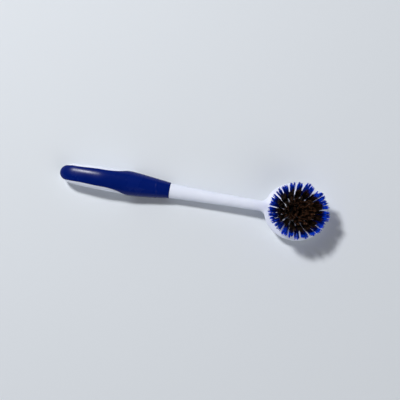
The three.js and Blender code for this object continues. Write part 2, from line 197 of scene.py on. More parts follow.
rim_start = HEAD_RADIUS - RIM_ROUND
widest = (HEAD_RADIUS, -RIM_DEPTH)
rim_end = (rim_start, face_height(rim_start))
back_curve = bend((BACK_LAND_RADIUS, -BACK_DEPTH), (rim_start, -BACK_DEPTH), widest, BACK_STEPS)
rim_curve = bend(widest, (HEAD_RADIUS, face_height(HEAD_RADIUS)), rim_end, RIM_STEPS)
face_radii = np.linspace(rim_start, CENTRE_RADIUS, FACE_STEPS)[1:]
face_curve = np.stack([face_radii, face_height(face_radii)], axis=1)
back_centre = [[CENTRE_RADIUS, -BACK_DEPTH]]
head_profile = np.concatenate([back_centre, back_curve, rim_curve[1:], face_curve])

# The head leans, its back just touches the table and its far rim ends the brush
tilt = Matrix.Rotation(HEAD_TILT, 3, "Y")
head_low = (head_profile[:, 1] * math.cos(HEAD_TILT) - head_profile[:, 0] * math.sin(HEAD_TILT)).min()
head_far = (head_profile[:, 1] * math.sin(HEAD_TILT) + head_profile[:, 0] * math.cos(HEAD_TILT)).max()
head_place = np.array([BRUSH_LENGTH - head_far, 0, -head_low])


def on_head(points):
    """From the head's own frame to the brush."""
    return np.asarray(points) @ np.array(tilt).T + head_place


turn = np.linspace(0, FULL_TURN, HEAD_SIDES, endpoint=False)
head_rings = []
for radius, height in head_profile:
    lengthwise = radius * np.cos(turn)
    crosswise = HEAD_OVAL * radius * np.sin(turn)
    head_rings.append(on_head(np.stack([lengthwise, crosswise, np.full(HEAD_SIDES, height)], axis=1)))

# Neck, from inside the sleeve to inside the head. Places and climb are shares of its run and of its rise
NECK_OVERLAP = 4.0
NECK_DROP = 4.4
FLARE_RADIUS = 7.0
FLARE_REACH = 0.72
NECK_SHARE = [0, 0.3, 0.65, 1.0]
NECK_CLIMB = [0, 0.2, 0.62, 1.0]
NECK_HALF_WIDTH = [GRIP_HALF_WIDTH[-1] - COLLAR_STEP, 6.2, 5.35, 5.0]
NECK_HALF_HEIGHT = [GRIP_HALF_HEIGHT[-1] - COLLAR_STEP, 5.9, 5.1, 4.7]
near_rim = head_place[0] - HEAD_RADIUS * math.cos(HEAD_TILT)
neck_end = head_place[0] - FLARE_REACH * HEAD_RADIUS * math.cos(HEAD_TILT)
neck_rise = head_place[2] + HEAD_RADIUS * math.sin(HEAD_TILT) - NECK_DROP
neck_at = [GRIP_LENGTH + share * (near_rim - GRIP_LENGTH) for share in NECK_SHARE]


def flare(x):
    """How much wider the neck gets where it runs into the oval of the head."""
    rim_radius = HEAD_RADIUS * HEAD_OVAL**2
    side = NECK_HALF_WIDTH[-1] + FLARE_RADIUS
    reach = rim_radius + FLARE_RADIUS
    depth = math.sqrt(reach**2 - side**2)
    start = near_rim + rim_radius - depth
    end = near_rim + rim_radius - rim_radius * depth / reach
    run = min(max(x, start), end) - start
    return FLARE_RADIUS - math.sqrt(FLARE_RADIUS**2 - run**2)


neck_rings = []
for x in np.arange(GRIP_LENGTH - NECK_OVERLAP, neck_end, CORE_STEP):
    climb = along(neck_at, NECK_CLIMB, x)
    rise = GRIP_RISE[-1] + climb * (neck_rise - GRIP_RISE[-1])
    half_width = along(neck_at, NECK_HALF_WIDTH, x) + flare(x)
    half_height = along(neck_at, NECK_HALF_HEIGHT, x)
    neck_rings.append(section(x, rise, half_width, half_height, 0, whole_turn, HANDLE_SIDES))

# Bare tail, a shell that is tucked under the grip's edge, further so at the tip, where it is also filled
TAIL_SKIN = 5.0
TAIL_SKIN_SHARE = 0.6
TAIL_TUCK = 0.7
TIP_TUCK = 1.5
TIP_REACH = 5.0
FILL_RATE = 2.0
TAIL_SIDES = 80
LEAST_OPENING = math.radians(-75)
tail_rings = []
for x in handle_places(GRIP_PROUD, PARTING_AT[-1], CORE_STEP):
    tip_share = max(1 - x / TIP_REACH, 0)
    edge = edge_angle(x, TAIL_TUCK + TIP_TUCK * tip_share)
    if edge < LEAST_OPENING:
        continue
    edges = (math.pi - edge, FULL_TURN + edge, TAIL_SIDES)
    skin_depth = min(TAIL_SKIN, TAIL_SKIN_SHARE * handle_size(x, 0)[2])
    outer = section(x, *handle_size(x, GRIP_PROUD), *edges)
    inner = section(x, *handle_size(x, skin_depth), *edges)
    filled = min(FILL_RATE * tip_share, 1)
    inner += filled * (np.linspace(outer[0], outer[-1], TAIL_SIDES) - inner)
    tail_rings.append(np.concatenate([outer, inner[::-1]]))

# Tang, which the grip is moulded over
tang_rings = []
for x in handle_places(GRIP_WALL, GRIP_LENGTH, CORE_STEP):
    tang_rings.append(section(x, *handle_size(x, GRIP_WALL), 0, whole_turn, HANDLE_SIDES))

# One skin over all four bodies, with soft corners and a longer fillet between neck and head
CORE_VOXEL = 0.5
SMOOTH_FACTOR = 0.5
CORNER_ROUNDS = 4
FILLET_ROUNDS = 24
FILLET_REACH = 9.0
FILLET_INSIDE = 1.0
FILLET_STRETCH = (1.0, 0.75, 0.9)


def soften(made, rounds, group=""):
    """Rounds the corners of an object, or only those in one group of its points."""
    smooth = made.modifiers.new("soft corners", "SMOOTH")
    smooth.factor = SMOOTH_FACTOR
    smooth.iterations = rounds
    smooth.vertex_group = group


def settle(made):
    """Carries out the object's modifiers, so that a plain mesh is left."""
    graph = bpy.context.evaluated_depsgraph_get()
    mesh = bpy.data.meshes.new_from_object(made.evaluated_get(graph), depsgraph=graph)
    made.modifiers.clear()
    made.data = mesh
    mesh.name = made.name


core = mesh_object("white_core", [loft(rings) for rings in (tail_rings, tang_rings, neck_rings, head_rings)])
remesh = core.modifiers.new("one skin", "REMESH")
remesh.mode = "VOXEL"
remesh.voxel_size = CORE_VOXEL
soften(core, CORNER_ROUNDS)
settle(core)

spots = np.empty(3 * len(core.data.vertices))
core.data.vertices.foreach_get("co", spots)
junction = np.array([near_rim + FILLET_INSIDE, 0, neck_rise])
distance = np.linalg.norm((spots.reshape(-1, 3) - junction) * FILLET_STRETCH, axis=1)
near_head = core.vertex_groups.new(name="fillet")
for number in np.flatnonzero(distance < FILLET_REACH):
    near_head.add([int(number)], 1 - (distance[number] / FILLET_REACH) ** 2, "REPLACE")
soften(core, FILLET_ROUNDS, "fillet")
settle(core)

# A Mix node for colours repeats the names of its sockets, so these go by number
MIX_FACTOR = 0
MIX_FROM = 6
MIX_TO = 7
MIX_RESULT = 2
# Most of a noise texture lies between these values
NOISE_LOW = 0.3
NOISE_HIGH = 0.7


def add(tree, kind, inputs=None, **settings):
    """Adds a node, with its settings, and with each input set to a value or linked to an output."""
    made = tree.nodes.new(kind)
    for name, value in settings.items():
        setattr(made, name, value)
    for key, value in (inputs or {}).items():
        if isinstance(value, bpy.types.NodeSocket):
            tree.links.new(value, made.inputs[key])
        else:
            made.inputs[key].default_value = value
    return made


def linear(colour):
    """Linear colour of an sRGB hex value."""
    channels = [int(colour[i : i + 2], 16) / 255 for i in (1, 3, 5)]
    return [c / 12.92 if c <= 0.04045 else ((c + 0.055) / 1.055) ** 2.4 for c in channels] + [1.0]


def new_finish(name, values):
    """A material with some values set on its shader, and that shader."""
    made = bpy.data.materials.new(name)
    made.use_nodes = True
    shader = made.node_tree.nodes["Principled BSDF"]
    for socket, value in values.items():
        shader.inputs[socket].default_value = value
    return made, shader


def mottle(shader, size, detail, shades, roughness):
    """Cloudy patches of a size in millimetres, between two shades and between two roughnesses."""
    tree = shader.id_data
    where = add(tree, "ShaderNodeTexCoord").outputs["Object"]
    scale = 1 / (size * MM)
    cloud = add(tree, "ShaderNodeTexNoise", {"Vector": where, "Scale": scale, "Detail": detail}).outputs[0]
    colour = add(
        tree,
        "ShaderNodeMix",
        {MIX_FACTOR: cloud, MIX_FROM: linear(shades[0]), MIX_TO: linear(shades[1])},
        data_type="RGBA",
    )
    gloss = add(
        tree,
        "ShaderNodeMapRange",
        {
            "Value": cloud,
            "From Min": NOISE_LOW,
            "From Max": NOISE_HIGH,
            "To Min": roughness[0],
            "To Max": roughness[1],
        },
    )
    tree.links.new(colour.outputs[MIX_RESULT], shader.inputs["Base Color"])
    tree.links.new(gloss.outputs[0], shader.inputs["Roughness"])


def roughen(shader, size, detail, strength, depth):
    """Fine relief, with a grain and a depth in millimetres."""
    tree = shader.id_data
    where = add(tree, "ShaderNodeTexCoord").outputs["Object"]
    scale = 1 / (size * MM)
    grain = add(tree, "ShaderNodeTexNoise", {"Vector": where, "Scale": scale, "Detail": detail}).outputs[0]
    relief = add(tree, "ShaderNodeBump", {"Strength": strength, "Distance": depth * MM, "Height": grain})
    tree.links.new(relief.outputs[0], shader.inputs["Normal"])


# Moulded polypropylene: a waxy white with a satin skin from a polished mould and a faint cloudiness
CLOUD_SIZE = 14
CLOUD_DETAIL = 3.0
WHITE_SHADES = ("#e1e6f8", "#eaeffd")
WHITE_ROUGHNESS = (0.34, 0.44)
LIGHT_REACH = 1.2
# A polished mould leaves a grain of about a tenth of this, which is drawn coarser here so that it shows
GRAIN_SIZE = 0.9
GRAIN_DETAIL = 2.0
GRAIN_STRENGTH = 0.06
GRAIN_DEPTH = 0.05
polypropylene, skin = new_finish(
    "moulded_white_polypropylene",
    {
        "IOR": 1.49,
        "Subsurface Weight": 0.08,
        "Subsurface Radius": (1.0, 1.0, 1.0),
        "Subsurface Scale": LIGHT_REACH * MM,
    },
)
mottle(skin, CLOUD_SIZE, CLOUD_DETAIL, WHITE_SHADES, WHITE_ROUGHNESS)
roughen(skin, GRAIN_SIZE, GRAIN_DETAIL, GRAIN_STRENGTH, GRAIN_DEPTH)
core.data.materials.append(polypropylene)

# Blind holes in the head's face, one for each tuft, which lean outwards, more so further from the middle.
# A drill makes them after moulding, just before the tufts are driven in. Tufts lean further than their holes.
TUFT_RINGS = {"dark_centre": 4, "dark_middle": 10, "dark_outer": 16, "blue_ring": 24}
FIRST_RING_RADIUS = 3.2
RING_PITCH = 4.6
HOLE_LEAN = math.radians(1.05)
TUFT_LEAN = math.radians(2.1)
LEAN_SCATTER = math.radians(0.9)
TURN_SCATTER = math.radians(3.4)
HALF_STEP = 0.5
HOLE_RADIUS = 1.6
HOLE_DEPTH = 7.8
HOLE_SIDES = 20
SHARP_ANGLE = math.radians(50)


def leaning(angle, lean):
    """Way that leans outwards from the head's axis, less so across the oval."""
    outward = math.sin(lean)
    way = np.array([math.cos(angle) * outward, HEAD_OVAL * math.sin(angle) * outward, math.cos(lean)])
    return way / np.linalg.norm(way)


def tuft_points(name, order, count):
    """A mesh of bare points at the mouths of one ring of holes, which carry the ways of hole and tuft."""
    radius = FIRST_RING_RADIUS + order * RING_PITCH
    angles = (np.arange(count) + HALF_STEP) * FULL_TURN / count
    chance = np.random.default_rng(order)
    mouths = []
    ways = {"hole_way": [], "tuft_way": [], "sideways": []}
    for angle in angles:
        across = HEAD_OVAL * radius * math.sin(angle)
        mouths.append([radius * math.cos(angle), across, face_height(radius)])
        ways["hole_way"].append(leaning(angle, radius * HOLE_LEAN))
        lean = radius * TUFT_LEAN + chance.uniform(-LEAN_SCATTER, LEAN_SCATTER)
        ways["tuft_way"].append(leaning(angle + chance.normal(0, TURN_SCATTER), lean))
        ways["sideways"].append([-math.sin(angle), math.cos(angle), 0])
    made = mesh_object(name, [(on_head(mouths), [])])
    for key, rows in ways.items():
        layer = made.data.attributes.new(key, "FLOAT_VECTOR", "POINT")
        layer.data.foreach_set("vector", (np.array(rows) @ np.array(tilt).T).ravel())
    phase = made.data.attributes.new("phase", "FLOAT", "POINT")
    phase.data.foreach_set("value", chance.uniform(0, FULL_TURN, count))
    return made


def named_inputs(tree, sockets):
    """Gives a tree its geometry sockets and its named inputs, and returns the outputs of its input node."""
    tree.interface.new_socket("Geometry", in_out="OUTPUT", socket_type="NodeSocketGeometry")
    tree.interface.new_socket("Geometry", in_out="INPUT", socket_type="NodeSocketGeometry")
    for kind, names in sockets.items():
        for name in names:
            tree.interface.new_socket(name, in_out="INPUT", socket_type=kind)
    return add(tree, "NodeGroupInput").outputs


def grow(made, tree, values):
    """Runs a tree of geometry nodes on an object with its named inputs set, and keeps the plain mesh."""
    growth = made.modifiers.new(tree.name, "NODES")
    growth.node_group = tree
    for item in tree.interface.items_tree:
        if item.in_out == "INPUT" and item.name in values:
            growth[item.identifier] = values[item.name]
    settle(made)


def place(made):
    """Flattens what bears on the table and takes the mesh from millimetres to its place in metres."""
    for vertex in made.data.vertices:
        vertex.co.z = max(vertex.co.z, 0.0)
    made.data.transform(Matrix.Scale(MM, 4) @ Matrix.Translation((TAIL_START, 0, 0)))
    made.data.shade_smooth()


drill_tree = bpy.data.node_groups.new("tuft_hole_drills", "GeometryNodeTree")
drill_sizes = named_inputs(
    drill_tree,
    {
        "NodeSocketInt": ("Sides",),
        "NodeSocketFloat": ("Radius", "Reach"),
        "NodeSocketMaterial": ("Material",),
    },
)
hole_way = add(drill_tree, "GeometryNodeInputNamedAttribute", {"Name": "hole_way"}, data_type="FLOAT_VECTOR")
upright = add(drill_tree, "FunctionNodeAlignRotationToVector", {"Vector": hole_way.outputs[0]}, axis="Z")
drill = add(
    drill_tree,
    "GeometryNodeMeshCylinder",
    {"Vertices": drill_sizes["Sides"], "Radius": drill_sizes["Radius"], "Depth": drill_sizes["Reach"]},
)
drills = add(
    drill_tree,
    "GeometryNodeInstanceOnPoints",
    {"Points": drill_sizes["Geometry"], "Instance": drill.outputs["Mesh"], "Rotation": upright.outputs[0]},
)
bored = add(drill_tree, "GeometryNodeRealizeInstances", {"Geometry": drills.outputs[0]})
lined = add(
    drill_tree,
    "GeometryNodeSetMaterial",
    {"Geometry": bored.outputs[0], "Material": drill_sizes["Material"]},
)
add(drill_tree, "NodeGroupOutput", {"Geometry": lined.outputs[0]})

drill_values = {
    "Sides": HOLE_SIDES,
    "Radius": HOLE_RADIUS,
    "Reach": 2 * HOLE_DEPTH,
    "Material": polypropylene,
}
for order, (ring_name, count) in enumerate(TUFT_RINGS.items()):
    bits = tuft_points(ring_name + "_drills", order, count)
    grow(bits, drill_tree, drill_values)
    cut = core.modifiers.new(ring_name, "BOOLEAN")
    cut.operation = "DIFFERENCE"
    cut.solver = "MANIFOLD"
    cut.object = bits
    settle(core)
    bpy.data.objects.remove(bits)

place(core)
core.data.set_sharp_from_angle(angle=SHARP_ANGLE)
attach(core, "root")
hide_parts("handle_core")

# Soft grip
# A second shot of navy thermoplastic rubber over the tang: a cap on the tail that becomes a sleeve.
# Its edge is rounded and lies tight against the bare tail. A low bead runs round the sleeve near its front.
SEAM_GAP = 0.12
TANG_GAP = 0.2
GRIP_EDGE = 0.7
EDGE_SHARE = 0.3
FRONT_EDGE = 0.5
BEAD_PLACE = 95.0
BEAD_WIDTH = 0.7
BEAD_HEIGHT = 0.16
GRIP_STEP = 0.4
COLUMNS = 110
EDGE_COLUMNS = 6
FRONT_ROWS = 6
LINE_POINTS = 600
MERGE_DISTANCE = 0.01


def grip_row(x, inner_x, front_inset):
    """Outer and inner points of the grip at one station, and whether it goes all round there."""
    edge = edge_angle(x, SEAM_GAP)
    edges = (edge, math.pi - edge, LINE_POINTS)
    closed = edge <= -QUARTER_TURN
    line = section(x, *handle_size(x, 0), *edges)
    steps = np.linalg.norm(np.diff(line, axis=0), axis=1)
    run = np.concatenate([[0], np.cumsum(steps)])

    # Columns gather at the two edges where these are rounded, and lie evenly where the grip is closed
    opening = np.linalg.norm(line[-1] - line[0])
    rounding = 0.0 if closed else min(GRIP_EDGE, opening / 2, EDGE_SHARE * x)
    corner = rounding * (1 - np.cos(np.linspace(0, QUARTER_TURN, EDGE_COLUMNS)))
    middle = np.linspace(rounding, run[-1] - rounding, COLUMNS)[1:-1]
    at_edges = np.concatenate([corner, middle, run[-1] - corner[::-1]])
    evenly = np.linspace(0, run[-1], len(at_edges))
    columns = evenly + (at_edges - evenly) * rounding / GRIP_EDGE

    # The surface sinks towards its edges and rises at the bead
    from_edge = np.minimum(np.minimum(columns, run[-1] - columns), rounding)
    inset = rounding - np.sqrt(rounding**2 - (rounding - from_edge) ** 2) + front_inset
    bead = BEAD_HEIGHT * math.exp(-(((x - BEAD_PLACE) / BEAD_WIDTH) ** 2))
    slope = np.gradient(line, axis=0)
    slope /= np.linalg.norm(slope, axis=1)[:, None]
    outer = np.stack([np.interp(columns, run, line[:, axis]) for axis in range(3)], axis=1)
    outer[:, 1] += np.interp(columns, run, slope[:, 2]) * (bead - inset)
    outer[:, 2] += np.interp(columns, run, -slope[:, 1]) * (bead - inset)
    inside = section(inner_x, *handle_size(inner_x, GRIP_WALL - TANG_GAP), *edges)
    inner = np.stack([np.interp(columns, run, inside[:, axis]) for axis in range(3)], axis=1)
    return outer, inner, closed


# Stations along the grip, outside and inside, with a rounded front edge
front_turn = np.linspace(0, QUARTER_TURN, FRONT_ROWS)[1:]
front_places = GRIP_LENGTH - FRONT_EDGE * (1 - np.sin(front_turn))
grip_places = handle_places(TIP_FLAT, GRIP_LENGTH - FRONT_EDGE, GRIP_STEP)
inner_places = handle_places(GRIP_WALL - TANG_GAP, GRIP_LENGTH - FRONT_EDGE, GRIP_STEP)
front_insets = np.concatenate([np.zeros(len(grip_places)), FRONT_EDGE * (1 - np.cos(front_turn))])
grip_places = np.concatenate([grip_places, front_places])
inner_places = np.concatenate([inner_places, front_places])
grip_rows = [grip_row(*row) for row in zip(grip_places, inner_places, front_insets)]

# Each row is a loop that goes out along the outside and back along the inside
across_count = len(grip_rows[0][0])
loop = 2 * across_count
grip_points = np.concatenate([np.concatenate([outer, inner[::-1]]) for outer, inner, _ in grip_rows])
grip_faces = []
for row in range(len(grip_rows) - 1):
    sealed = grip_rows[row][2] and grip_rows[row + 1][2]
    low = row * loop
    high = low + loop
    for i in range(loop):
        if sealed and i in (across_count - 1, loop - 1):
            continue
        j = (i + 1) % loop
        grip_faces.append((low + i, low + j, high + j, high + i))
front = (len(grip_rows) - 1) * loop
for i in range(across_count - 1):
    grip_faces.append((front + i, front + i + 1, front + loop - 2 - i, front + loop - 1 - i))
grip_faces.append(tuple(range(across_count - 1, -1, -1)))
grip_faces.append(tuple(range(loop - 1, across_count - 1, -1)))
grip_faces.append((across_count - 1, 0, loop - 1, across_count))

grip = mesh_object("navy_grip", [(grip_points, grip_faces)])
joined = bmesh.new()
joined.from_mesh(grip.data)
bmesh.ops.remove_doubles(joined, verts=joined.verts, dist=MERGE_DISTANCE)
joined.to_mesh(grip.data)
joined.free()
place(grip)
grip.data.set_sharp_from_angle(angle=SHARP_ANGLE)

# Thermoplastic rubber: a deep navy with the fine grain of an etched mould, a low gloss and a soft shine
HANDLING_SIZE = 22
HANDLING_DETAIL = 4.0
NAVY_SHADES = ("#00155e", "#011c70")
NAVY_ROUGHNESS = (0.22, 0.3)
# The etch of such a mould is a few hundredths of a millimetre, and is drawn coarser here so that it shows
ETCH_SIZE = 0.8
ETCH_DETAIL = 3.0
ETCH_STRENGTH = 0.12
ETCH_DEPTH = 0.06
rubber, skin = new_finish("navy_thermoplastic_rubber", {"IOR": 1.5, "Specular IOR Level": 0.16})
mottle(skin, HANDLING_SIZE, HANDLING_DETAIL, NAVY_SHADES, NAVY_ROUGHNESS)
roughen(skin, ETCH_SIZE, ETCH_DETAIL, ETCH_STRENGTH, ETCH_DEPTH)
grip.data.materials.append(rubber)
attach(grip, "root")
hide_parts("soft_grip")

# Anchors
# Flat pieces of wire at the bottom of the holes. Each is driven in with a folded tuft and grips the wall.
# They are cut from drawn and zinc-plated steel, which gives a dull bright face.
STEEL_SHADES = ("#a8a294", "#c6c1b2")
STEEL_ROUGHNESS = (0.28, 0.45)
# Drawing marks are finer than this, and are drawn coarser here so that they show
DRAW_SIZE = 0.3
DRAW_DETAIL = 2.0
wire, skin = new_finish("plated_steel_wire", {"Metallic": 1.0})
mottle(skin, DRAW_SIZE, DRAW_DETAIL, STEEL_SHADES, STEEL_ROUGHNESS)
for name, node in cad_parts.items():
    if name.startswith("tuft_anchor"):
        node.data.materials.clear()
        node.data.materials.append(wire)

# Tufts
# Bundles of nylon filament, folded over an anchor and driven into a hole, then trimmed not quite evenly.
# The filaments spread from the mouth of the hole and gather in clumps, and no two lie quite alike.
FILAMENT_RADIUS = 0.17
FILAMENT_SIDES = 4
FILAMENT_STATIONS = 6
ROOT_DEPTH = 5.4
ROOT_SPREAD = 1.3
BURIED = 0.2
BEND_POWER = 1.6
GOLDEN_TURN = math.pi * (3 - math.sqrt(5))
CLUMPS = 5
CLUMP_OUT = 0.66
CODE_STEP = 1000
ODD_SHARE = 0.32
TUFT_SEED = 11
STRAY_SEED = 7.0

# What sets the rings apart, from the centre outwards. Length, Trim, Tip Spread, Stray and Clumping are in
# millimetres, Flatness, Gathering and Odd Tint are shares, and Fullness is a power.
TUFT_HABITS = {
    "Filaments": (90, 84, 80, 92),
    "Length": (18.2, 17.9, 19.1, 19.2),
    "Trim": (-1.8, -1.8, -2.0, -3.4),
    "Tip Spread": (4.6, 4.0, 3.3, 3.5),
    "Flatness": (0.8, 0.8, 0.6, 0.62),
    "Fullness": (0.42, 0.42, 0.5, 0.85),
    "Stray": (1.2, 1.2, 1.0, 0.6),
    "Clumping": (1.3, 1.3, 1.2, 0.95),
    "Gathering": (0.45, 0.45, 0.5, 0.55),
    "Odd Tint": (1.0, 0.9, 0.2, 0.9),
}

tuft_tree = bpy.data.node_groups.new("tuft_filaments", "GeometryNodeTree")
sizes = named_inputs(
    tuft_tree,
    {
        "NodeSocketInt": ("Filaments", "Seed"),
        "NodeSocketFloat": (
            "Filament Radius",
            "Length",
            "Root Depth",
            "Root Spread",
            "Tip Spread",
            "Fullness",
            "Flatness",
            "Trim",
            "Stray",
            "Clumping",
            "Gathering",
            "Odd Tint",
        ),
        "NodeSocketMaterial": ("Material",),
    },
)
points = add(tuft_tree, "GeometryNodeMeshToPoints", {"Mesh": sizes["Geometry"]})
mouth = add(tuft_tree, "GeometryNodeInputPosition")
kept = add(
    tuft_tree,
    "GeometryNodeStoreNamedAttribute",
    {"Geometry": points.outputs[0], "Name": "mouth", "Value": mouth.outputs[0]},
    data_type="FLOAT_VECTOR",
    domain="POINT",
)
copies = add(
    tuft_tree,
    "GeometryNodeDuplicateElements",
    {"Geometry": kept.outputs[0], "Amount": sizes["Filaments"]},
    domain="POINT",
)
number = copies.outputs["Duplicate Index"]

# Even scatter over the hole: the square root of the share sets the distance, the golden turn sets the angle
count_up = add(tuft_tree, "ShaderNodeMath", {0: number, 1: HALF_STEP}, operation="ADD").outputs[0]
share = add(tuft_tree, "ShaderNodeMath", {0: count_up, 1: sizes["Filaments"]}, operation="DIVIDE").outputs[0]
out = add(tuft_tree, "ShaderNodeMath", {0: share}, operation="SQRT").outputs[0]
phase = add(tuft_tree, "GeometryNodeInputNamedAttribute", {"Name": "phase"}, data_type="FLOAT").outputs[0]
around = add(
    tuft_tree,
    "ShaderNodeMath",
    {0: number, 1: GOLDEN_TURN, 2: phase},
    operation="MULTIPLY_ADD",
).outputs[0]
cosine = add(tuft_tree, "ShaderNodeMath", {0: around}, operation="COSINE").outputs[0]
sine = add(tuft_tree, "ShaderNodeMath", {0: around}, operation="SINE").outputs[0]
side_part = add(tuft_tree, "ShaderNodeMath", {0: out, 1: cosine}, operation="MULTIPLY").outputs[0]
lift_part = add(tuft_tree, "ShaderNodeMath", {0: out, 1: sine}, operation="MULTIPLY").outputs[0]
stray_seed = add(tuft_tree, "ShaderNodeMath", {0: sizes["Seed"], 1: STRAY_SEED}, operation="ADD").outputs[0]
stray = add(
    tuft_tree,
    "FunctionNodeRandomValue",
    {"Min": (-1, -1, -1), "Max": (1, 1, 1), "Seed": stray_seed},
    data_type="FLOAT_VECTOR",
).outputs[0]

# Each tuft parts into clumps: sectors of the hole, whose filaments gather towards the middle of their sector.
# A clump leans its own way, drawn by a code that is made of the tuft's phase and the number of the sector.
golden_turns = add(
    tuft_tree,
    "ShaderNodeMath",
    {0: number, 1: GOLDEN_TURN / FULL_TURN},
    operation="MULTIPLY",
).outputs[0]
golden_share = add(tuft_tree, "ShaderNodeMath", {0: golden_turns}, operation="FRACT").outputs[0]
sectors = add(tuft_tree, "ShaderNodeMath", {0: golden_share, 1: CLUMPS}, operation="MULTIPLY").outputs[0]
sector = add(tuft_tree, "ShaderNodeMath", {0: sectors}, operation="FLOOR").outputs[0]
sector_middle = add(tuft_tree, "ShaderNodeMath", {0: sector, 1: HALF_STEP}, operation="ADD").outputs[0]
clump_turn = add(
    tuft_tree,
    "ShaderNodeMath",
    {0: sector_middle, 1: FULL_TURN / CLUMPS, 2: phase},
    operation="MULTIPLY_ADD",
).outputs[0]
clump_cosine = add(tuft_tree, "ShaderNodeMath", {0: clump_turn}, operation="COSINE").outputs[0]
clump_sine = add(tuft_tree, "ShaderNodeMath", {0: clump_turn}, operation="SINE").outputs[0]
clump_side = add(
    tuft_tree,
    "ShaderNodeMath",
    {0: clump_cosine, 1: CLUMP_OUT},
    operation="MULTIPLY",
).outputs[0]
clump_lift = add(
    tuft_tree,
    "ShaderNodeMath",
    {0: clump_sine, 1: CLUMP_OUT},
    operation="MULTIPLY",
).outputs[0]
clump_code = add(
    tuft_tree,
    "ShaderNodeMath",
    {0: phase, 1: CODE_STEP, 2: sector},
    operation="MULTIPLY_ADD",
).outputs[0]
clump = add(
    tuft_tree,
    "FunctionNodeRandomValue",
    {"Min": (-1, -1, -1), "Max": (1, 1, 1), "ID": clump_code, "Seed": sizes["Seed"]},
    data_type="FLOAT_VECTOR",
).outputs[0]

# A share of the filaments is of an odd shade. A random single number is the second output of its node
shade = add(tuft_tree, "FunctionNodeRandomValue", {"Seed": sizes["Seed"]}, data_type="FLOAT").outputs[1]
oddness = add(
    tuft_tree,
    "ShaderNodeMapRange",
    {"Value": shade, "From Min": 0.0, "From Max": ODD_SHARE, "To Min": sizes["Odd Tint"], "To Max": 0.0},
).outputs[0]
own = copies.outputs[0]
for name, kind, value in (
    ("side_part", "FLOAT", side_part),
    ("lift_part", "FLOAT", lift_part),
    ("clump_side", "FLOAT", clump_side),
    ("clump_lift", "FLOAT", clump_lift),
    ("stray", "FLOAT_VECTOR", stray),
    ("clump", "FLOAT_VECTOR", clump),
    ("shade", "FLOAT", shade),
    ("oddness", "FLOAT", oddness),
):
    stored = add(
        tuft_tree,
        "GeometryNodeStoreNamedAttribute",
        {"Geometry": own, "Name": name, "Value": value},
        data_type=kind,
        domain="POINT",
    )
    own = stored.outputs[0]

# A line of a few stations stands on each of these points
line = add(tuft_tree, "GeometryNodeCurvePrimitiveLine")
stations = add(
    tuft_tree,
    "GeometryNodeResampleCurve",
    {"Curve": line.outputs[0], "Count": FILAMENT_STATIONS},
)
lines = add(tuft_tree, "GeometryNodeInstanceOnPoints", {"Points": own, "Instance": stations.outputs[0]})
strands = add(tuft_tree, "GeometryNodeRealizeInstances", {"Geometry": lines.outputs[0]})

carried = {}
for name, kind in (
    ("mouth", "FLOAT_VECTOR"),
    ("hole_way", "FLOAT_VECTOR"),
    ("tuft_way", "FLOAT_VECTOR"),
    ("sideways", "FLOAT_VECTOR"),
    ("stray", "FLOAT_VECTOR"),
    ("clump", "FLOAT_VECTOR"),
    ("side_part", "FLOAT"),
    ("lift_part", "FLOAT"),
    ("clump_side", "FLOAT"),
    ("clump_lift", "FLOAT"),
    ("shade", "FLOAT"),
):
    read = add(tuft_tree, "GeometryNodeInputNamedAttribute", {"Name": name}, data_type=kind)
    carried[name] = read.outputs[0]

# From root to tip: the first stretch lies in the hole, the rest is free
factor = add(tuft_tree, "GeometryNodeSplineParameter").outputs["Factor"]
free = add(
    tuft_tree,
    "ShaderNodeMapRange",
    {"Value": factor, "From Min": BURIED, "From Max": 1.0, "To Min": 0.0, "To Max": 1.0},
).outputs[0]
depth = add(
    tuft_tree,
    "ShaderNodeMapRange",
    {"Value": factor, "From Min": 0.0, "From Max": BURIED, "To Min": -1.0, "To Max": 0.0},
).outputs[0]
sunk = add(tuft_tree, "ShaderNodeMath", {0: depth, 1: sizes["Root Depth"]}, operation="MULTIPLY").outputs[0]
trimmed = add(
    tuft_tree,
    "ShaderNodeMath",
    {0: carried["shade"], 1: sizes["Trim"], 2: sizes["Length"]},
    operation="MULTIPLY_ADD",
).outputs[0]
reach = add(tuft_tree, "ShaderNodeMath", {0: free, 1: trimmed}, operation="MULTIPLY").outputs[0]

# A tuft opens from its root to its tip, and is flatter across than along the ring
opened = add(tuft_tree, "ShaderNodeMath", {0: free, 1: sizes["Fullness"]}, operation="POWER").outputs[0]
spread = add(
    tuft_tree,
    "ShaderNodeMapRange",
    {
        "Value": opened,
        "From Min": 0.0,
        "From Max": 1.0,
        "To Min": sizes["Root Spread"],
        "To Max": sizes["Tip Spread"],
    },
).outputs[0]
flattened = add(
    tuft_tree,
    "ShaderNodeMath",
    {0: spread, 1: sizes["Flatness"]},
    operation="MULTIPLY",
).outputs[0]
across = add(
    tuft_tree,
    "ShaderNodeVectorMath",
    {0: carried["sideways"], 1: carried["tuft_way"]},
    operation="CROSS_PRODUCT",
).outputs[0]

# Towards the tip a filament bends off on its own way, and with its clump
bent = add(tuft_tree, "ShaderNodeMath", {0: free, 1: BEND_POWER}, operation="POWER").outputs[0]
wander = add(tuft_tree, "ShaderNodeMath", {0: bent, 1: sizes["Stray"]}, operation="MULTIPLY").outputs[0]
parted = add(tuft_tree, "ShaderNodeMath", {0: bent, 1: sizes["Clumping"]}, operation="MULTIPLY").outputs[0]
gathered = add(tuft_tree, "ShaderNodeMath", {0: bent, 1: sizes["Gathering"]}, operation="MULTIPLY").outputs[0]
side_now = add(
    tuft_tree,
    "ShaderNodeMix",
    {"Factor": gathered, "A": carried["side_part"], "B": carried["clump_side"]},
).outputs[0]
lift_now = add(
    tuft_tree,
    "ShaderNodeMix",
    {"Factor": gathered, "A": carried["lift_part"], "B": carried["clump_lift"]},
).outputs[0]
side_step = add(tuft_tree, "ShaderNodeMath", {0: side_now, 1: spread}, operation="MULTIPLY").outputs[0]
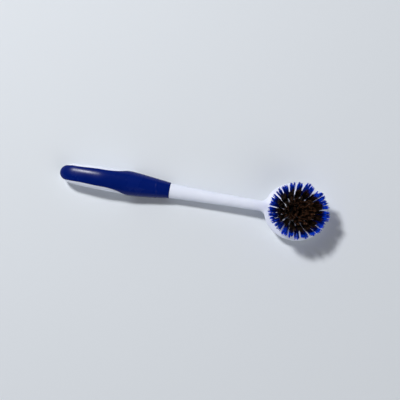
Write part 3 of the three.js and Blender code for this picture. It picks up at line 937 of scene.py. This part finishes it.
lift_step = add(tuft_tree, "ShaderNodeMath", {0: lift_now, 1: flattened}, operation="MULTIPLY").outputs[0]

# A station's place is the mouth of its hole and a step along each of these ways
spot = carried["mouth"]
for way, amount in (
    (carried["hole_way"], sunk),
    (carried["tuft_way"], reach),
    (carried["sideways"], side_step),
    (across, lift_step),
    (carried["stray"], wander),
    (carried["clump"], parted),
):
    step = add(tuft_tree, "ShaderNodeVectorMath", {0: way, "Scale": amount}, operation="SCALE").outputs[0]
    spot = add(tuft_tree, "ShaderNodeVectorMath", {0: spot, 1: step}, operation="ADD").outputs[0]
shaped = add(tuft_tree, "GeometryNodeSetPosition", {"Geometry": strands.outputs[0], "Position": spot})
marked = add(
    tuft_tree,
    "GeometryNodeStoreNamedAttribute",
    {"Geometry": shaped.outputs[0], "Name": "from_root", "Value": free},
    data_type="FLOAT",
    domain="POINT",
)
round_wire = add(
    tuft_tree,
    "GeometryNodeCurvePrimitiveCircle",
    {"Resolution": FILAMENT_SIDES, "Radius": sizes["Filament Radius"]},
)
filaments = add(
    tuft_tree,
    "GeometryNodeCurveToMesh",
    {"Curve": marked.outputs[0], "Profile Curve": round_wire.outputs[0], "Fill Caps": True},
)
whole = add(tuft_tree, "GeometryNodeRealizeInstances", {"Geometry": filaments.outputs[0]})
dyed = add(
    tuft_tree,
    "GeometryNodeSetMaterial",
    {"Geometry": whole.outputs[0], "Material": sizes["Material"]},
)
add(tuft_tree, "NodeGroupOutput", {"Geometry": dyed.outputs[0]})

# Drawn nylon: dyed through, with a dull sheen. Its colour is darkened towards the root with painted shade,
# where the filaments crowd, and lightened at the tip with painted light, and here and there a filament of
# another shade runs through the tuft.
STEM_PLACE = 0.5
NYLON_VALUES = {"IOR": 1.53, "Roughness": 0.48, "Specular IOR Level": 0.14}
# The root shade is painted shade and the tip shade is painted light; stem and odd are the dyes' own colours
FILAMENT_SHADES = {
    "blue_filament": {"root": "#010a50", "stem": "#053ade", "tip": "#0e55ff", "odd": "#021470"},
    "dark_filament": {"root": "#040302", "stem": "#0c0805", "tip": "#1c130d", "odd": "#94654a"},
}
nylons = {}
for slot_name, shades in FILAMENT_SHADES.items():
    nylon, skin = new_finish("drawn_nylon_" + slot_name, NYLON_VALUES)
    tree = skin.id_data
    from_root = add(tree, "ShaderNodeAttribute", attribute_name="from_root").outputs["Fac"]
    # The ramp paints shade towards the root and light at the tip
    ramp = add(tree, "ShaderNodeValToRGB", {"Fac": from_root})
    ramp.color_ramp.elements[0].color = linear(shades["root"])
    ramp.color_ramp.elements[1].color = linear(shades["tip"])
    ramp.color_ramp.elements.new(STEM_PLACE).color = linear(shades["stem"])
    odd = add(tree, "ShaderNodeAttribute", attribute_name="oddness").outputs["Fac"]
    mixed = add(
        tree,
        "ShaderNodeMix",
        {MIX_FACTOR: odd, MIX_FROM: ramp.outputs[0], MIX_TO: linear(shades["odd"])},
        data_type="RGBA",
    )
    tree.links.new(mixed.outputs[MIX_RESULT], skin.inputs["Base Color"])
    nylons[slot_name] = nylon

for order, (ring_name, count) in enumerate(TUFT_RINGS.items()):
    slot_name = "blue_filament" if ring_name == "blue_ring" else "dark_filament"
    tufts = tuft_points(ring_name + "_filaments", order, count)
    values = {habit: row[order] for habit, row in TUFT_HABITS.items()}
    values["Filament Radius"] = FILAMENT_RADIUS
    values["Root Depth"] = ROOT_DEPTH
    values["Root Spread"] = ROOT_SPREAD
    values["Seed"] = TUFT_SEED + order
    values["Material"] = nylons[slot_name]
    grow(tufts, tuft_tree, values)
    place(tufts)
    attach(tufts, "root")
    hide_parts(ring_name + "_tufts")

# Floor
# A plain pale table top, a hair below the brush, with a matt face that takes its shadow.
# It isn't part of the object.
FLOOR_SIZE = 3.0
FLOOR_DROP = 0.0001
bpy.ops.mesh.primitive_plane_add(size=FLOOR_SIZE, location=(0, 0, -FLOOR_DROP))
floor = bpy.context.object
floor.name = "floor"
table_top, _ = new_finish(
    "pale_table_top",
    {"Base Color": linear("#dfe4ea"), "Roughness": 0.8, "Specular IOR Level": 0.0},
)
floor.data.materials.append(table_top)

# Light
# A key lamp stands high on the far side, towards the tail, and a broad weaker fill on the near side.
# Pale walls under a dark ceiling light the rest, so that the top of the grip stays deep in colour.
LAMPS = {
    "key": {"place": (-0.98, 0.82, 1.7), "size": 0.32, "power": 36.8},
    "fill": {"place": (1.2, -1.0, 1.4), "size": 1.5, "power": 10.6},
}
WALL_TOP = 0.15
CEILING_EDGE = 0.5
WALL_STRENGTH = 0.7
CEILING_STRENGTH = 0.03
for name, lamp in LAMPS.items():
    light = bpy.data.lights.new(name, "AREA")
    light.size = lamp["size"]
    light.energy = lamp["power"]
    lit = bpy.data.objects.new(name, light)
    lit.location = lamp["place"]
    lit.rotation_euler = (-Vector(lamp["place"])).to_track_quat("-Z", "Y").to_euler()
    scene.collection.objects.link(lit)
world = bpy.data.worlds.new("surround")
world.use_nodes = True
surround = world.node_tree.nodes["Background"]
surround.inputs["Color"].default_value = linear("#f4f6fa")
direction = add(world.node_tree, "ShaderNodeTexCoord").outputs["Generated"]
height = add(world.node_tree, "ShaderNodeSeparateXYZ", {0: direction}).outputs["Z"]
walls = add(
    world.node_tree,
    "ShaderNodeMapRange",
    {
        "Value": height,
        "From Min": WALL_TOP,
        "From Max": CEILING_EDGE,
        "To Min": WALL_STRENGTH,
        "To Max": CEILING_STRENGTH,
    },
    interpolation_type="SMOOTHSTEP",
)
world.node_tree.links.new(walls.outputs[0], surround.inputs["Strength"])
scene.world = world

# Camera
# It looks down on the brush, leaning a little towards the viewer and the head, and turned about its axis.
# The lens and the aim follow from the scale of the photograph and the pixel where the brush's origin lies.
CAMERA_DISTANCE = 1.25
LEAN_ALONG = math.radians(4.37)
LEAN_ACROSS = math.radians(4.5)
ROLL = math.radians(9.77)
SENSOR_WIDTH = 36.0
IMAGE_SIZE = 400
PIXELS_PER_MM = 1.0339
ORIGIN_PIXEL = (194.77, 195.49)
towards = Vector((math.tan(LEAN_ALONG), -math.tan(LEAN_ACROSS), 1)).normalized()
level = (Vector((1, 0, 0)) - towards * towards.x).normalized()
upward = towards.cross(level)
right = math.cos(ROLL) * level + math.sin(ROLL) * upward
top = math.cos(ROLL) * upward - math.sin(ROLL) * level
aside = (IMAGE_SIZE / 2 - ORIGIN_PIXEL[0]) / PIXELS_PER_MM * MM
below = (IMAGE_SIZE / 2 - ORIGIN_PIXEL[1]) / PIXELS_PER_MM * MM
lens = bpy.data.cameras.new("camera")
lens.sensor_width = SENSOR_WIDTH
lens.lens = PIXELS_PER_MM * CAMERA_DISTANCE / MM / IMAGE_SIZE * SENSOR_WIDTH
camera = bpy.data.objects.new("camera", lens)
turned = Matrix((right, top, towards)).transposed().to_4x4()
camera.matrix_world = Matrix.Translation(towards * CAMERA_DISTANCE + right * aside - top * below) @ turned
scene.collection.objects.link(camera)
scene.camera = camera
scene.view_settings.view_transform = "Standard"
